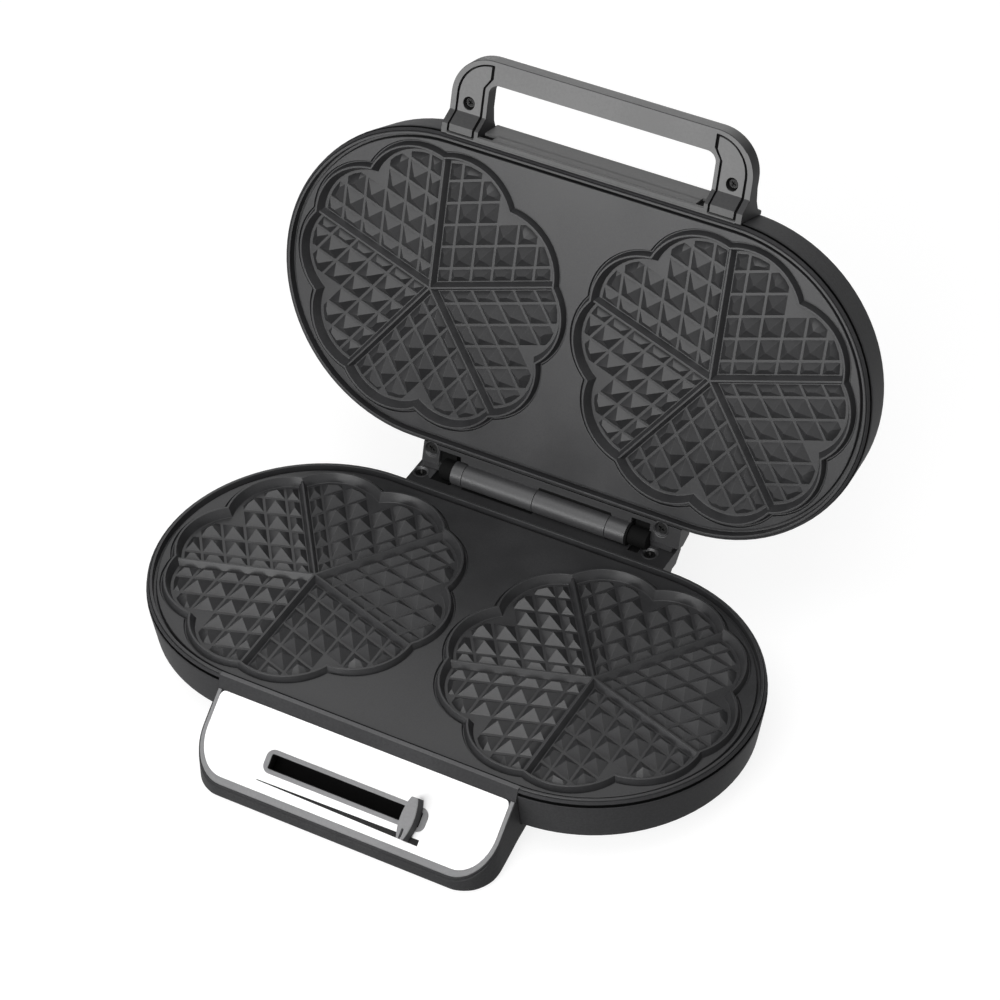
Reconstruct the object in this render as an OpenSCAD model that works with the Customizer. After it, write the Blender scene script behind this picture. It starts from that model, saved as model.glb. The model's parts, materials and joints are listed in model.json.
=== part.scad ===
// Double heart-waffle maker with a raised lid, in millimetres.
// X runs along the two moulds, Y from the handle side to the hinge, Z up.

/* [Cooking plates] */
// Distance between the centres of the two waffle moulds
mould_spacing = 168; // [164:1:174]
// Height of the small pyramids above the mould floor
pyramid_height = 4.9; // [3:0.1:5]
// Height of the dividing ridges above the mould floor
ridge_height = 3.5; // [2.5:0.1:4.5]
// Metal left under the mould floor
floor_metal = 3.5; // [3:0.1:4.5]
// Gap between the two plates' crests with the lid closed
parting_gap = 0.4; // [0.2:0.1:1]

/* [Housings] */
// Depth of the lower housing's side wall
base_depth = 28.8; // [27:0.1:31]
// Height of the lid's side wall
lid_height = 30.8; // [29:0.1:34]
// Height of the table below the parting plane
stand_height = 48; // [47:0.5:56]

/* [Hinge] */
// How far the lid stands open at rest, in degrees
open_angle = 106; // [60:1:106]
// Radius of the hinge barrel
barrel_r = 6.5; // [6:0.1:6.6]
// Radius of the steel hinge pin
pin_r = 2.5; // [2:0.1:3]

/* [Temperature slider] */
// Slider position: 0 is the right-hand end, 80 the left-hand end
slider_pos = 0; // [0:1:80]
// Height of the slider knob above the panel
knob_height = 10; // [7:0.5:12]

/* [Handle] */
// Thickness of the handle bar
handle_thick = 8.8; // [8:0.1:11]
// Reach of the handle from the centre line
handle_reach = 134.6; // [130:0.5:142]

/* [Hidden] */
$fn = 96;
e = 0.01;
play = 0.3;            // gap left between curved faces
run = 0.05;            // radial clearance of a shaft in its hole
hs = mould_spacing / 2;
zc = parting_gap / 2;  // crest of each plate, from the parting plane
zf = zc + 2.6;         // plate's flat
zm = zc + 5.3;         // mould floor
zb = zm + floor_metal; // back of the plate
lobe_r = 33;           // crest radius of one lobe
lobe_d = 47.26;        // lobe centre from the mould centre
rim_r = 88.3;          // plate's widest radius
seat_z = 6.4;          // ledge that the plate rests on
hinge_y = 102.5;
hinge_z = 2;
ht = 8.2 + handle_thick;                        // handle's upper face with the lid closed
// middle of the stored pose, from the control block's front to the handle's back corner
y_mid = (-128.9 + hinge_y - cos(open_angle) * (handle_reach + hinge_y)
  + sin(open_angle) * (ht - hinge_z)) / 2;
rod_r = 3.3;
rod_z = zb + play + rod_r;
refl_z = zb + 2 * play + 2 * rod_r;
loop_r = 50;
boss_z = 18;                                    // where plate boss meets housing boss
fix = [[-44, -75.5], [44, -75.5], [-44, 75.5], [44, 75.5], [-hs - 75.5, 0], [hs + 75.5, 0]];
rfix = [[-hs, -60.5], [hs, -60.5], [-hs, 60.5], [hs, 60.5]];
// control panel: plane through (pa_y, pa_z), falling forwards
pa_y = -92.1;
pa_z = -7.5;
pt = 39.8;                                      // panel slope, degrees
skin = 1.6;                                     // border and fascia thickness
bw = 88;                                        // half width of the control block
bf = -128.9;                                    // its front
slot_v = -25.7;
slot_h = 44.9;
knob_x = 40.2 - slider_pos;

// ---------- helpers ----------
module place() { translate([0, -y_mid, stand_height]) children(); }
module lid() {
  place() translate([0, hinge_y, hinge_z]) rotate([-open_angle, 0, 0])
    translate([0, -hinge_y, -hinge_z]) children();
}
// a half profile [r, z] carried round both ends and along the straight sides
module stad(p, c = hs) {
  for (k = [0, 1]) mirror([k, 0, 0]) translate([c, 0, 0]) rotate([0, 0, -90])
    rotate_extrude(angle = 180) polygon(p);
  for (k = [0, 1]) mirror([0, k, 0]) translate([-c, 0, 0]) rotate([90, 0, 90])
    linear_extrude(2 * c) polygon(p);
}
// a [y, z] profile carried along x from x0 to x1
module along(x0, x1, p) { translate([x0, 0, 0]) rotate([90, 0, 90]) linear_extrude(x1 - x0) polygon(p); }
module upz() { mirror([0, 0, 1]) children(); }
// frame on the control panel: x along, y up the slope, z outwards
module panel() { translate([0, pa_y, pa_z]) rotate([pt, 0, 0]) children(); }
module box(x0, x1, y0, y1, z0, z1) { translate([x0, y0, z0]) cube([x1 - x0, y1 - y0, z1 - z0]); }
module rod(x0, x1, y, z, r) { translate([x0, y, z]) rotate([0, 90, 0]) cylinder(r = r, h = x1 - x0); }
module rrect(w, d, r) {
  union() {
    translate([-w / 2 + r, -d / 2]) square([w - 2 * r, d]);
    translate([-w / 2, -d / 2 + r]) square([w, d - 2 * r]);
    for (i = [-1, 1], j = [-1, 1]) translate([i * (w / 2 - r), j * (d / 2 - r)]) circle(r);
  }
}

// ---------- cooking plate, drawn for the base: crest near z = 0, back below ----------
// union of ten lobes as truncated cones, radius ra at za and rb at zb_
module outline(r) {
  for (k = [0:9]) rotate(-90 + 36 * k + (k % 2 == 0 ? 14.27 : 21.73)) translate([lobe_d, 0]) circle(r, $fn = 60);
  circle(32);
}
module lobes(ra, za, rb, zb_) {
  translate([0, 0, za]) linear_extrude(zb_ - za, scale = (rb + lobe_d) / (ra + lobe_d)) outline(ra);
}
module wedge_row(d, hw, h, l0, l1) {
  translate([l0, 0, 0]) rotate([90, 0, 90]) linear_extrude(l1 - l0)
    polygon([[d - hw * (1 + 0.3 / h), -0.3], [d + hw * (1 + 0.3 / h), -0.3], [d, h]]);
}
pitch = 12.8;
first = 10.5;
sn = sin(72);
pyr = (pitch / 2 - 0.5) * sn;
cleft = first + 2 * pitch - 0.5;
// the wedges running beside one ridge of a heart sector
module wedges() {
  hw0 = (first * sn - 0.5 - 2.8) / 2;
  wedge_row(2.8 + hw0, hw0, pyramid_height * hw0 / pyr, 1, 75);
  for (i = [1:5]) wedge_row((first + pitch * (i - 0.5)) * sn, pyr, pyramid_height, 1, 75);
}
module sector_pyramids() {
  intersection() {
    wedges();
    rotate([0, 0, 72]) mirror([0, 1, 0]) wedges();
    translate([0, 0, -1]) linear_extrude(2 * pyramid_height) difference() {
      union() {
        for (k = [14.27, 72 - 14.27]) rotate(k) translate([lobe_d, 0]) circle(lobe_r - 4.6);
        polygon([[0, 0], [71.5, 0], [60 * cos(36), 60 * sin(36)], [71.5 * cos(72), 71.5 * sin(72)]]);
      }
      // no pyramid at the heart's cleft
      multmatrix([[1, cos(72), 0, 0], [0, sn, 0, 0]]) translate([cleft, cleft]) square(40);
    }
  }
}
module mould() {
  translate([0, 0, -zm]) {
    for (k = [0:4]) rotate([0, 0, -90 + 72 * k]) sector_pyramids();
    union() {
      for (k = [0:4]) rotate([0, 0, -90 + 72 * k]) translate([-0.8, 0, 0]) rotate([90, 0, 90])
        linear_extrude(75.6) polygon([[-2.45, -0.3], [2.45, -0.3], [0.55, ridge_height], [-0.55, ridge_height]]);
      translate([0, 0, -0.3]) cylinder(r = 2.2, h = ridge_height + 0.3);
    }
  }
}
module plate() {
  difference() {
    union() {
      stad([[0, -zb], [0, -zf], [84.2, -zf], [84.8, -zf + 0.7], [85.9, -zf + 0.6], [rim_r, -zf - 2.8],
        [rim_r, -seat_z], [86.2, -seat_z], [86.2, -zb]]);
      for (s = [-1, 1]) translate([s * hs, 0, 0]) lobes(lobe_r + 2.4, -zf - 0.2, lobe_r + 0.6, -zc);
      for (q = fix) translate([q[0], q[1], -boss_z]) cylinder(r = 5, h = boss_z - zb + e);
      for (q = rfix) translate([q[0], q[1], -refl_z]) cylinder(r = 4, h = refl_z - zb + e);
    }
    for (s = [-1, 1]) translate([s * hs, 0, 0]) lobes(lobe_r - 3.3, -zm, lobe_r - 0.5, -zc + 0.2);
    for (q = fix) translate([q[0], q[1], -boss_z - e]) cylinder(r = 1.7 + run, h = 9);
    for (q = rfix) translate([q[0], q[1], -refl_z - e]) cylinder(r = 1.5 + run, h = 5.5);
  }
  for (s = [-1, 1]) translate([s * hs, 0, 0]) mould();
}
// tubular element: a stadium loop whose ends turn down at the hinge side
module element() {
  translate([0, 0, -rod_z]) {
    for (s = [-1, 1]) translate([s * hs, 0, 0]) rotate([0, 0, s > 0 ? -90 : 90])
      rotate_extrude(angle = 180) translate([loop_r, 0]) circle(rod_r, $fn = 32);
    rod(-hs, hs, -loop_r, 0, rod_r);
    for (s = [-1, 1]) {
      rod(s > 0 ? 22 : -hs, s > 0 ? hs : -22, loop_r, 0, rod_r);
      translate([s * 22, loop_r, 0]) sphere(rod_r);
      translate([s * 22, loop_r, -9]) cylinder(r = rod_r, h = 9);
      translate([s * 22, loop_r, -15]) cylinder(r = 1.6, h = 7);
    }
  }
}
module reflector() {
  difference() {
    stad([[0, -refl_z - 0.8], [0, -refl_z], [66, -refl_z], [66, -zb], [66.8, -zb], [66.8, -refl_z - 0.8]]);
    for (q = rfix) translate([q[0], q[1], -refl_z - 1]) cylinder(r = 1.5 + run, h = 2);
    for (s = [-1, 1]) translate([s * 22, loop_r, -refl_z - 1]) cylinder(r = rod_r + 1.2, h = 2);
    box(-9, 9, -3.5, 3.5, -refl_z - 1, -refl_z + 0.1);
  }
}
module reflector_screws() {
  for (q = rfix) translate([q[0], q[1], 0]) {
    translate([0, 0, -refl_z - 0.8 - 2]) cylinder(r = 3, h = 2);
    translate([0, 0, -refl_z - 0.8 - e]) cylinder(r = 1.5, h = 5.5);
  }
}
// long screws through a housing's bosses; back is the housing's outer face
module plate_screws(back) {
  for (q = fix) translate([q[0], q[1], 0]) {
    translate([0, 0, -back + 1.4]) cylinder(r = 3.4, h = 2.4);
    translate([0, 0, -back + 3.7]) cylinder(r = 1.7, h = back - 3.7 - boss_z + 7.5);
  }
}
module housing_bosses(back) {
  for (q = fix) translate([q[0], q[1], -back]) cylinder(r = 6, h = back - boss_z);
}
module housing_boss_holes(back) {
  for (q = fix) translate([q[0], q[1], 0]) {
    translate([0, 0, -back - 1]) cylinder(r = 3.8, h = 4.8);
    translate([0, 0, -back - 1]) cylinder(r = 1.7 + run, h = back + 2 - boss_z);
  }
}

// ---------- base ----------
bo = base_depth;
wall_out = [[90.3, -6.2], [87.1, -bo + 0.9], [86.3, -bo]];
module base_wall_window() { box(-40, 40, -95, -70, -24, -14); }
module lower_housing() {
  place() color([0.16, 0.16, 0.165]) difference() {
    union() {
      stad(concat([[88.6, -seat_z], [88.6, -3.4], [89.1, -2.9], [89.9, -2.9], [90.3, -3.4]], wall_out,
        [[62, -bo], [62, -bo + 2.2], [84.3, -bo + 2.2], [86.6, -seat_z]]));
      housing_bosses(bo);
      for (q = rear) translate([q[0], q[1], -stand_height + 3]) cylinder(r = 8, h = stand_height - bo - 2);
    }
    for (q = rear) translate([q[0], q[1], -stand_height]) cylinder(r = 6.6 + play, h = 4.5);
    housing_boss_holes(bo);
    base_wall_window();
    for (q = cfix) translate([q[0], q[1], -bo - 1]) cylinder(r = 1.5 + run, h = 5);
    for (q = pfix) translate([q[0], q[1], -bo - 1]) cylinder(r = 1.5 + run, h = 5);
    gland_frame() translate([0, 0, -6]) cylinder(r = 5 + run, h = 12);
    base_hinge_pilots();
  }
}
foot = [[-112, -48], [112, -48]];                // front legs, under the bottom cover
rear = [[-70, 77.7], [70, 77.7]];                // rear legs, under the housing
cfix = [[-hs - 66, 0], [hs + 66, 0], [-30, -66], [30, -66], [-30, 66], [30, 66]];
pfix = [[-60, -78.5], [0, -78.5], [60, -78.5]];
gland_a = atan((90.3 - 87.1) / (bo - 0.9 - 6.2));
module gland_frame() { translate([0, 88.04, -21.5]) rotate([-90 - gland_a, 0, 0]) children(); }

// control block: [y, z] profile, inset by t
module block_profile(t) {
  c = cos(pt); s = sin(pt);
  k = skin + t;
  // panel plane lowered by k
  py = pa_y + k * s; pz = pa_z - k * c;
  fy = bf + t;
  fz = pz - (py - fy) * tan(pt);
  polygon(t == 0 ?
    [[-90.3, 0.3], [-91.1, 0.3], [-91.7, -0.4], [pa_y, pa_z], [py, pz], [fy, fz], [fy, -45.4],
     [fy + 0.5, -45.9], [-123.8, -45.9], [-114.4, -44.6], [-101, -40.7], [-90.8, -37.2], [-79.5, -34.5],
     [-73, -32.6], [-73, -bo], [-86.3, -bo], [-87.1, -bo + 0.9], [-90.3, -6.2]] :
    [[-91, pz + (py + 91) * tan(pt)], [fy, fz], [fy, -45.9 + t], [-123.8, -45.9 + t],
     [-114.4, -44.6 + t], [-101, -40.7 + t], [-90.8, -37.2 + t], [-89.5, -bo - 5], [-89.5, -17]]);
}
module block_plan(w, f, r) {
  union() {
    translate([-w, f + r]) square([2 * w, -60 - f - r]);
    translate([-w + r, f]) square([2 * (w - r), r + 1]);
    for (s = [-1, 1]) translate([s * (w - r), f + r]) circle(r);
  }
}
module xprism(w, t) { translate([-w, 0, 0]) rotate([90, 0, 90]) linear_extrude(2 * w) block_profile(t); }
module housing_ends(g) {
  for (k = [0, 1]) mirror([k, 0, 0]) translate([hs, 0, 0]) rotate([0, 0, -90]) rotate_extrude(angle = 180)
    polygon([[70, -bo - g], [86.3 + g, -bo - g], [87.1 + g, -bo + 0.9 - g], [90.3 + g, -6.2], [90.3 + g, 3], [70, 3]]);
}
module control_housing() {
  place() color([0.17, 0.17, 0.175]) difference() {
    intersection() {
      xprism(bw, 0);
      translate([0, 0, -60]) linear_extrude(70) block_plan(bw, bf, 21);
    }
    intersection() {
      xprism(bw - 2.4, 2.4);
      translate([0, 0, -60]) linear_extrude(70) block_plan(bw - 2.4, bf + 2.4, 18.6);
    }
    housing_ends(play);
    panel() box(-slot_h - 0.3, slot_h + 0.3, slot_v - 4.3, slot_v + 4.3, -8, 1);
    base_wall_window();
    for (q = pfix) translate([q[0], q[1], -45]) cylinder(r = 1.5 + run, h = 30);
    for (q = pfix) translate([q[0], q[1], -45]) cylinder(r = 3.4, h = 45 - bo - 2.2);
  }
}
module skin_layer(p) {
  intersection() {
    place() translate([0, 0, -60]) linear_extrude(70) difference() { children(0); children(1); }
    place() panel() box(-100, 100, -80, 0, -skin, 0);
  }
}
module control_border() {
  color([0.55, 0.55, 0.56]) skin_layer() {
    block_plan(bw, bf, 21);
    intersection() {
      block_plan(85.4, bf + 2.5, 18.6);
      translate([-100, -140]) square([200, 140 + pa_y - 0.5]);
    }
  }
}
module control_fascia() {
  color([0.95, 0.95, 0.95]) difference() {
    skin_layer() {
      intersection() {
        block_plan(85.4 - play, bf + 2.5 + play, 18.3);
        translate([-100, -140]) square([200, 140 + pa_y - 0.5 - play]);
      }
      translate([0, 300]) square(1);
    }
    place() panel() box(-slot_h - 0.3, slot_h + 0.3, slot_v - 4.3, slot_v + 4.3, -8, 1);
  }
}
module slot_bezel() {
  place() color([0.55, 0.55, 0.56]) panel() translate([0, slot_v, 0]) difference() {
    union() {
      linear_extrude(0.9) rrect(95.4, 12.8, 3);
      translate([0, 0, -skin - 1.5]) linear_extrude(skin + 1.6) rrect(2 * slot_h + 0.4, 8.4, 1);
    }
    translate([0, 0, -5]) linear_extrude(8) rrect(2 * slot_h - 0.6, 7.4, 0.7);
  }
}
// black channel behind the slot that the carriage runs in
gd = skin + 2.4;
module slider_guide() {
  place() color([0.03, 0.03, 0.03]) panel() translate([0, slot_v, -gd]) difference() {
    box(-50, 50, -9, 9, -9, 0);
    box(-47, 47, -6.2, 6.2, -7.4, 1);
  }
}
module control_screws() {
  place() color([0.6, 0.6, 0.62]) for (q = pfix) translate([q[0], q[1], 0]) {
    translate([0, 0, -bo - 4.2]) cylinder(r = 2.9, h = 2);
    translate([0, 0, -bo - 2.3]) cylinder(r = 1.5, h = 4.4);
  }
}
module slider_carriage() {
  place() color([0.05, 0.05, 0.05]) panel() translate([knob_x, slot_v, 0]) {
    box(-6, 6, -5.9, 5.9, -gd - 7.1, -gd - 3.1);
    box(-2.2, 2.2, -3.2, 3.2, -gd - 4, knob_height - 4);
  }
}
module knob_plan(g) {
  intersection() {
    for (s = [0]) translate([-28.6, 0]) circle(32.4 - g, $fn = 180);
    translate([28.6, 0]) circle(32.4 - g, $fn = 180);
    translate([-10, -11.2 + g]) square([20, 22.4 - 2 * g]);
  }
}
module slider_knob() {
  place() color([0.2, 0.2, 0.2]) panel() translate([knob_x, slot_v - 1.4, 0]) difference() {
    translate([0, 0, 1.4]) linear_extrude(knob_height - 1.4 - 1.2) knob_plan(0);
    translate([0, 1.4, 0]) box(-2.2 - run, 2.2 + run, -3.2 - run, 3.2 + run, 0, knob_height - 4);
  }
}
module slider_knob_cap() {
  place() color([0.58, 0.58, 0.59]) panel() translate([knob_x, slot_v - 1.4, 0]) difference() {
    translate([0, 0, knob_height - 1.2]) linear_extrude(1.2) knob_plan(0);
    box(-0.55, 0.55, -10, -5.5, knob_height - 0.8, knob_height + 1);
  }
}
module lower_cooking_plate() { place() color([0.2, 0.2, 0.21]) plate(); }
module lower_heating_element() { place() color([0.45, 0.44, 0.42]) element(); }
module lower_reflector() { place() color([0.72, 0.73, 0.74]) reflector(); }
module lower_reflector_screws() { place() color([0.6, 0.6, 0.62]) reflector_screws(); }
module lower_plate_screws() { place() color([0.6, 0.6, 0.62]) plate_screws(bo); }

module bottom_cover() {
  place() color([0.14, 0.14, 0.145]) difference() {
    union() {
      stad([[0, -bo - 8], [0, -bo - 6], [57.6, -bo - 6], [57.6, -bo], [69.4, -bo], [69.4, -bo - 2],
        [60, -bo - 2], [60, -bo - 8]]);
      for (q = foot) translate([q[0], q[1], -stand_height + 3]) cylinder(r = 9.5, h = stand_height - bo - 5);
    }
    for (q = foot) translate([q[0], q[1], -stand_height]) cylinder(r = 7.5 + play, h = 4.5);
    for (q = cfix) translate([q[0], q[1], -bo - 3]) cylinder(r = 1.5 + run, h = 4);
    for (i = [-3:3]) box(i * 9 - 2, i * 9 + 2, -34, -14, -bo - 9, -bo - 5);
    for (i = [-3:3]) box(i * 9 - 2, i * 9 + 2, 14, 34, -bo - 9, -bo - 5);
  }
}
module bottom_cover_screws() {
  place() color([0.6, 0.6, 0.62]) for (q = cfix) translate([q[0], q[1], 0]) {
    translate([0, 0, -bo - 4]) cylinder(r = 2.9, h = 2);
    translate([0, 0, -bo - 2.1]) cylinder(r = 1.5, h = 4.2);
  }
}
module rubber_feet() {
  place() color([0.05, 0.05, 0.05]) {
    for (q = foot) translate([q[0], q[1], -stand_height]) cylinder(r = 7.5, h = 4.5);
    for (q = rear) translate([q[0], q[1], -stand_height]) cylinder(r = 6.6, h = 4.5);
  }
}
module thermostat() {
  place() color([0.8, 0.78, 0.72]) {
    translate([0, -30, -refl_z - 0.8 - 10]) linear_extrude(10) rrect(34, 22, 3);
    box(-22, -16, -32, -28, -refl_z - 6, -refl_z - 5);
    box(16, 22, -32, -28, -refl_z - 6, -refl_z - 5);
  }
}
module terminal_block() {
  place() color([0.85, 0.83, 0.78]) difference() {
    box(-20, 20, 36, 48, -bo - 6, -bo + 5);
    for (i = [-1:1]) translate([i * 12, 50, -bo - 0.5]) rotate([90, 0, 0]) cylinder(r = 2, h = 16);
  }
}
module cord_gland() {
  place() color([0.06, 0.06, 0.06]) gland_frame() difference() {
    union() {
      translate([0, 0, 0.05]) cylinder(r = 6.8, h = 3);
      translate([0, 0, -5]) cylinder(r = 5, h = 20);
    }
    translate([0, 0, -6]) cylinder(r = 3.2, h = 22);
  }
}
// ---------- hinge ----------
bhs = [[-74.6, 98.5], [67.1, 98.5]];
lhs = [[-71.2, 94.2], [69.9, 94.2]];
module base_hinge_pilots() {
  for (x = [-74.6, 67.1, -30, 20]) translate([x, 86, -10]) rotate([-90, 0, 0]) cylinder(r = 1.5 + run, h = 6);
}
module barrel(x0, x1) { rod(x0, x1, hinge_y, hinge_z, barrel_r); }
clr = barrel_r + 0.4;
module base_hinge_block() {
  place() color([0.17, 0.17, 0.175]) difference() {
    union() {
      // body along the rear wall
      along(-79.6, 79, [[90.35, -3], [104, -3], [104, -9], [100, -14], [89.2, -14], [90.35, -6.2]]);
      // stop lugs behind the axis
      for (x = [[-79.6, -62], [60, 79]]) along(x[0], x[1], [[103, -3], [112, -3], [112, -6], [106, -12], [102, -12]]);
      barrel(-4.2, 40);
      barrel(-55, -48.2);
      along(-4.2, 40, [[99, -4], [106, -4], [hinge_y + barrel_r, hinge_z], [hinge_y, hinge_z]]);
      along(-55, -48.2, [[99, -4], [106, -4], [hinge_y + barrel_r, hinge_z], [hinge_y, hinge_z]]);
    }
    rod(-48.2, -4.2, hinge_y, hinge_z, clr);
    rod(40, 53, hinge_y, hinge_z, clr);
    rod(-60, 60, hinge_y, hinge_z, pin_r + run);
    box(-67.6, -55, 96.5, 108, -8, 3);
    box(54.6, 60.8, 95.6, 108, -8, 3);
    for (q = bhs) translate([q[0], q[1], -20]) {
      cylinder(r = 1.7 + run, h = 20);
      translate([0, 0, 14.4]) cylinder(r1 = 1.7 + run, r2 = 4.3, h = 2.6 + e);
    }
    for (q = bhs) translate([q[0], q[1], -15]) cylinder(r = 1.7 + run, h = 14);
  }
}
module base_hinge_inserts() {
  place() color([0.03, 0.03, 0.03]) {
    box(-67.4, -57.4, 96.8, 107, -8, -4.2);
    box(55, 60.6, 95.9, 107, -8, -4.2);
  }
}
module base_hinge_screws() {
  place() color([0.12, 0.12, 0.12]) for (q = bhs) translate([q[0], q[1], 0]) difference() {
    union() {
      translate([0, 0, -5.55]) cylinder(r1 = 1.7, r2 = 3.6, h = 1.95);
      translate([0, 0, -14]) cylinder(r = 1.7, h = 8.5);
    }
    translate([0, 0, -4.6]) cylinder(r = 1.2, h = 2);
  }
}
module hinge_pin() { place() color([0.6, 0.6, 0.62]) rod(-54.5, 52, hinge_y, hinge_z, pin_r); }

// ---------- lid, drawn closed ----------
lo = lid_height;
module lid_housing() {
  lid() color([0.16, 0.16, 0.165]) difference() {
    union() {
      stad([[88.6, seat_z], [88.6, 3.4], [89.1, 2.9], [89.9, 2.9], [90.3, 3.4], [90.3, 6.2], [87.5, lo - 3],
        [86.3, lo - 1.7], [80, lo - 1.2], [78.8, lo], [0, lo], [0, lo - 2.2], [78, lo - 2.2], [84.6, lo - 4],
        [86.6, seat_z]]);
      upz() housing_bosses(lo - 1.2);
    }
    upz() housing_boss_holes(lo);
  }
}
module upper_cooking_plate() { lid() color([0.2, 0.2, 0.21]) upz() plate(); }
module upper_heating_element() { lid() color([0.45, 0.44, 0.42]) upz() element(); }
module upper_reflector() { lid() color([0.72, 0.73, 0.74]) upz() reflector(); }
module upper_reflector_screws() { lid() color([0.6, 0.6, 0.62]) upz() reflector_screws(); }
module upper_plate_screws() { lid() color([0.6, 0.6, 0.62]) upz() plate_screws(lo); }
module lid_screw_plugs() {
  lid() color([0.15, 0.15, 0.155]) for (q = fix) translate([q[0], q[1], lo - 1.4]) cylinder(r = 3.75, h = 1.4);
}
wy = 90.35;
module lid_hinge_block() {
  lid() color([0.17, 0.17, 0.175]) difference() {
    union() {
      along(-76.5, 81.7, [[wy, 2.6], [102.5, 2.6], [102.5, 8.5], [98, 15], [89.3, 15], [wy, 6.2]]);
      // lugs that meet the base's stops
      for (x = [[-76.5, -64], [62, 77]])
        along(x[0], x[1], [[100, 2.6], [106.6, 4.74], [104.4, 12.43], [98, 15], [95, 10]]);
      barrel(-48, -4.4);
      barrel(40.2, 52);
    }
    rod(-4.4, 40.2, hinge_y, hinge_z, clr);
    rod(-56, -48, hinge_y, hinge_z, clr);
    rod(-60, 60, hinge_y, hinge_z, pin_r + run);
    box(-66, -52.8, 93, 108, 1, 9);
    box(52.2, 63.4, 93, 108, 1, 9);
    for (q = lhs) translate([q[0], q[1], 2.6 - e]) {
      cylinder(r = 1.7 + run, h = 9);
      cylinder(r1 = 4.3, r2 = 1.7 + run, h = 2.6);
    }
  }
}
module lid_hinge_inserts() {
  lid() color([0.03, 0.03, 0.03]) {
    box(-65.7, -56.2, 93.3, 101.5, 4.6, 9);
    box(54, 63.1, 93.3, 101.5, 4.6, 9);
  }
}
module lid_hinge_screws() {
  lid() color([0.12, 0.12, 0.12]) for (q = lhs) translate([q[0], q[1], 0]) difference() {
    union() {
      translate([0, 0, 3.2]) cylinder(r1 = 3.6, r2 = 1.7, h = 1.95);
      translate([0, 0, 5.1]) cylinder(r = 1.7, h = 6);
    }
    translate([0, 0, 2.2]) cylinder(r = 1.2, h = 2);
  }
}
// ---------- handle ----------
hx = 87.7;               // half width
hu = 8.2;                // underside, with the lid closed
hy = -handle_reach + 23; // centres of the corner curves
hsx = hx - 10.9;         // handle screws
module handle_frame() {
  lid() color([0.17, 0.17, 0.175]) difference() {
    union() {
      difference() {
        translate([0, 0, hu]) linear_extrude(handle_thick) intersection() {
          union() {
            translate([-hx, hy]) square([2 * hx, 40]);
            translate([-hx + 23, -handle_reach]) square([2 * (hx - 23), 24]);
            for (s = [-1, 1]) translate([s * (hx - 23), hy]) circle(23);
          }
          translate([-hx, -handle_reach]) square([2 * hx, handle_reach - 96]);
        }
        translate([0, -handle_reach + 13 + 20, 0]) linear_extrude(40) rrect(2 * (hx - 21.8), 40, 5.5);
      }
      for (s = [0, 1]) mirror([s, 0, 0])
        along(hx - 21.8, hx, [[-91.4, 1], [-96.2, 1], [-101.6, hu], [-106, hu], [-106, ht], [-98, ht + 2], [-91.4, ht + 6]]);
      along(-hx, hx, [[-90.35, 1], [-91.6, 1], [-91.6, lo - 6], [-90, lo - 3], [-87.6, lo - 3], [-90.35, 6.2]]);
    }
    for (k = [0, 1]) mirror([k, 0, 0]) translate([hs, 0, 0]) rotate([0, 0, -90]) rotate_extrude(angle = 180)
      polygon([[70, 0], [90.6, 0], [90.6, 6.2], [87.8, lo - 3], [87.8, lo], [70, lo]]);
    handle_pockets();
    for (s = [-1, 1]) translate([s * hsx, -107.4, hu]) cylinder(r = 1.7 + run, h = 7);
  }
}
// underside of the legs, thickness t
module under_band(t) {
  along(-100, 100, [[-91.6, 0.5], [-96.3, 0.5], [-96.3, 1], [-101.6, hu], [-140, hu], [-140, hu + t], [-100.4, hu + t],
    [-95, 1 + t], [-91.6, 1 + t]]);
}
ix = hx - 23.4;
module inlay_plan(g) {
  difference() {
    union() {
      translate([ix + g, hy - 0.4]) square([20 - 2 * g, -hy + 0.4 - 91.6 - g]);
      intersection() {
        translate([ix, hy - 0.4]) circle(20 - g);
        translate([ix + g, hy - 28.4]) square([30, 29]);
      }
    }
    polygon([[ix - 4, -80], [ix + 4 + g, -80], [ix + 4 + g, hy - 6.9], [ix + g, hy - 12.9], [ix - 4, hy - 12.9]]);
  }
}
module handle_pockets() {
  for (k = [0, 1]) mirror([k, 0, 0]) intersection() {
    under_band(2.5);
    translate([0, 0, -2]) linear_extrude(20) inlay_plan(0);
  }
}
module inlay() {
  difference() {
    intersection() {
      under_band(2.5);
      along(-100, 100, [[-91.6, 1], [-96.2, 1], [-101.6, hu], [-140, hu], [-140, 30], [-91.6, 30]]);
      translate([0, 0, -2]) linear_extrude(20) inlay_plan(0.35);
    }
    translate([hsx, -107.4, hu - 1]) cylinder(r = 3.8, h = 6);
  }
}
module handle_inlay_right() { lid() color([0.18, 0.18, 0.185]) inlay(); }
module handle_inlay_left() { lid() color([0.18, 0.18, 0.185]) mirror([1, 0, 0]) inlay(); }
module handle_screws() {
  lid() color([0.12, 0.12, 0.12]) for (s = [-1, 1]) translate([s * hsx, -107.4, 0]) difference() {
    union() {
      translate([0, 0, hu + 0.6]) cylinder(r = 3.4, h = 1.9);
      translate([0, 0, hu + 2.4]) cylinder(r = 1.7, h = 4.5);
    }
    translate([0, 0, hu - 0.5]) cylinder(r = 1.2, h = 2);
  }
}

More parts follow.
